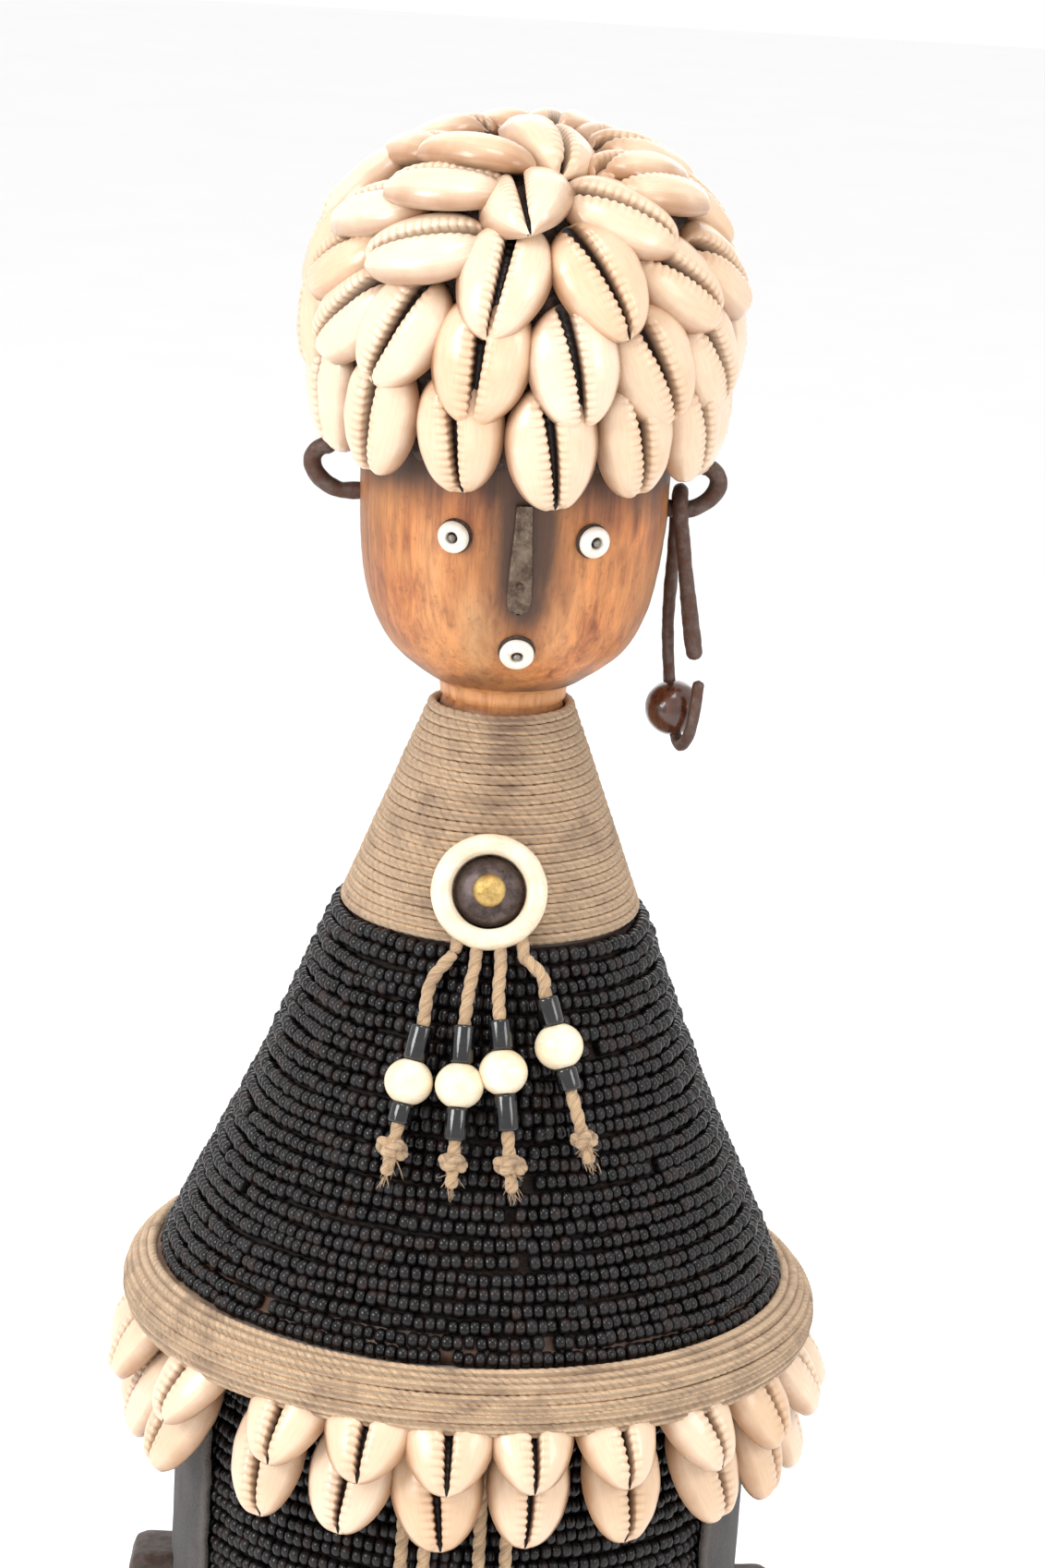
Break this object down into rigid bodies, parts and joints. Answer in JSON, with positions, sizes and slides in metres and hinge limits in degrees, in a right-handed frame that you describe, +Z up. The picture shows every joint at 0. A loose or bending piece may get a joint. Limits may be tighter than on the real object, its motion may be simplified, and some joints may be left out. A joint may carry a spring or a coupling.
{
  "type": "fertility doll",
  "caption": "Standing carved wooden doll with a domed cap of cowrie shells, bead and nail face, ear hoops, twine neck, beaded chest with pendants, rope band and cowrie fringe.",
  "frame": {"origin": "on the floor, under the middle of the body's round fringe", "axes": "+Z up to the crown of the cap, the face looks towards -Y, +X is the doll's own left, where the long earring hangs"},
  "size_m": [0.1128, 0.1128, 0.2845],
  "materials": {
    "carved_wood": "worn, scorched, waxy",
    "dark_pitch": "rough fibrous",
    "dark_arm_wood": "matt",
    "cowrie_shell": "polished shell, stained edges",
    "fringe_shell": "polished shell",
    "plant_twine": "twisted fibre",
    "black_seed_beads": "gloss",
    "dark_leather": "matt worn",
    "white_face_bead": "satin",
    "grey_pin": "dull",
    "worn_nose_metal": "worn",
    "rusty_iron_wire": "rust brown",
    "dark_wooden_bead": "polished",
    "ivory_ring": "polished",
    "gunmetal_dome": "polished",
    "brass_stud": "polished",
    "black_tube_bead": "gloss",
    "cream_bead": "polished"
  },
  "bodies": {
    "doll": {"carved_core": "carved_wood", "arm_left": "dark_arm_wood", "arm_right": "dark_arm_wood", "hair_pitch_cap": "dark_pitch", "hat_cowrie_row_1": "cowrie_shell", "hat_cowrie_row_2": "cowrie_shell", "hat_cowrie_row_3": "cowrie_shell", "hat_cowrie_row_4": "cowrie_shell", "hat_cowrie_row_5": "cowrie_shell", "crown_cowrie": "cowrie_shell", "neck_twine": "plant_twine", "bead_wrap_chest": "black_seed_beads", "bead_wrap_drum": "black_seed_beads", "rope_band": "plant_twine", "side_leather_left": "dark_leather", "side_leather_right": "dark_leather", "fringe_cowries_upper": "fringe_shell", "fringe_cowries_lower": "fringe_shell", "eye_left_bead": "white_face_bead", "eye_left_pin": "grey_pin", "mouth_bead": "white_face_bead", "mouth_pin": "grey_pin", "eye_right_bead": "white_face_bead", "eye_right_pin": "grey_pin", "nose_strip": "worn_nose_metal", "nose_nail": "grey_pin", "ear_hoop_left": "rusty_iron_wire", "ear_hoop_right": "rusty_iron_wire", "medallion_ring": "ivory_ring", "medallion_dome": "gunmetal_dome", "medallion_stud": "brass_stud", "front_cord_1": "plant_twine", "front_cord_2": "plant_twine", "front_cord_3": "plant_twine", "front_cord_4": "plant_twine"},
    "earring": {"earring_wire": "rusty_iron_wire"},
    "earring_bead": {"earring_bead": "dark_wooden_bead"},
    "pendant_1": {"pendant_1_cord": "plant_twine", "pendant_1_upper_tube": "black_tube_bead", "pendant_1_lower_tube": "black_tube_bead", "pendant_1_knot": "plant_twine"},
    "pendant_1_bead": {"pendant_1_bead": "cream_bead"},
    "pendant_2": {"pendant_2_cord": "plant_twine", "pendant_2_upper_tube": "black_tube_bead", "pendant_2_lower_tube": "black_tube_bead", "pendant_2_knot": "plant_twine"},
    "pendant_2_bead": {"pendant_2_bead": "cream_bead"},
    "pendant_3": {"pendant_3_cord": "plant_twine", "pendant_3_upper_tube": "black_tube_bead", "pendant_3_lower_tube": "black_tube_bead", "pendant_3_knot": "plant_twine"},
    "pendant_3_bead": {"pendant_3_bead": "cream_bead"},
    "pendant_4": {"pendant_4_cord": "plant_twine", "pendant_4_upper_tube": "black_tube_bead", "pendant_4_lower_tube": "black_tube_bead", "pendant_4_knot": "plant_twine"},
    "pendant_4_bead": {"pendant_4_bead": "cream_bead"}
  },
  "joints": [
    {"name": "earring_swing", "type": "hinge", "parent": "doll", "child": "earring", "pos_m": [0.0246, 0, 0.2278], "axis": [1, 0, 0], "range_deg": [-75, 75]},
    {"name": "earring_bead_spin", "type": "hinge", "parent": "earring", "child": "earring_bead", "pos_m": [0.0256, 0.00137, 0.19703], "axis": [-0.1698, 0.2484, 0.9537], "continuous": true},
    {"name": "pendant_1_lift", "type": "hinge", "parent": "doll", "child": "pendant_1", "pos_m": [-0.0048, -0.02462, 0.1648], "axis": [-1, 0, 0], "range_deg": [0, 60]},
    {"name": "pendant_1_bead_spin", "type": "hinge", "parent": "pendant_1", "child": "pendant_1_bead", "pos_m": [-0.01046, -0.03294, 0.14716], "axis": [0.1843, 0.3275, 0.9267], "continuous": true},
    {"name": "pendant_2_lift", "type": "hinge", "parent": "doll", "child": "pendant_2", "pos_m": [-0.0018, -0.0263, 0.1633], "axis": [-1, 0, 0], "range_deg": [0, 60]},
    {"name": "pendant_2_bead_spin", "type": "hinge", "parent": "pendant_2", "child": "pendant_2_bead", "pos_m": [-0.00302, -0.03433, 0.14747], "axis": [0.0248, 0.3699, 0.9287], "continuous": true},
    {"name": "pendant_3_lift", "type": "hinge", "parent": "doll", "child": "pendant_3", "pos_m": [0.002, -0.02628, 0.1633], "axis": [-1, 0, 0], "range_deg": [0, 60]},
    {"name": "pendant_3_bead_spin", "type": "hinge", "parent": "pendant_3", "child": "pendant_3_bead", "pos_m": [0.00327, -0.03343, 0.14961], "axis": [-0.1268, 0.3579, 0.9251], "continuous": true},
    {"name": "pendant_4_lift", "type": "hinge", "parent": "doll", "child": "pendant_4", "pos_m": [0.0054, -0.02458, 0.1646], "axis": [-1, 0, 0], "range_deg": [0, 60]},
    {"name": "pendant_4_bead_spin", "type": "hinge", "parent": "pendant_4", "child": "pendant_4_bead", "pos_m": [0.01121, -0.03017, 0.15299], "axis": [-0.3102, 0.2677, 0.9122], "continuous": true}
  ]
}
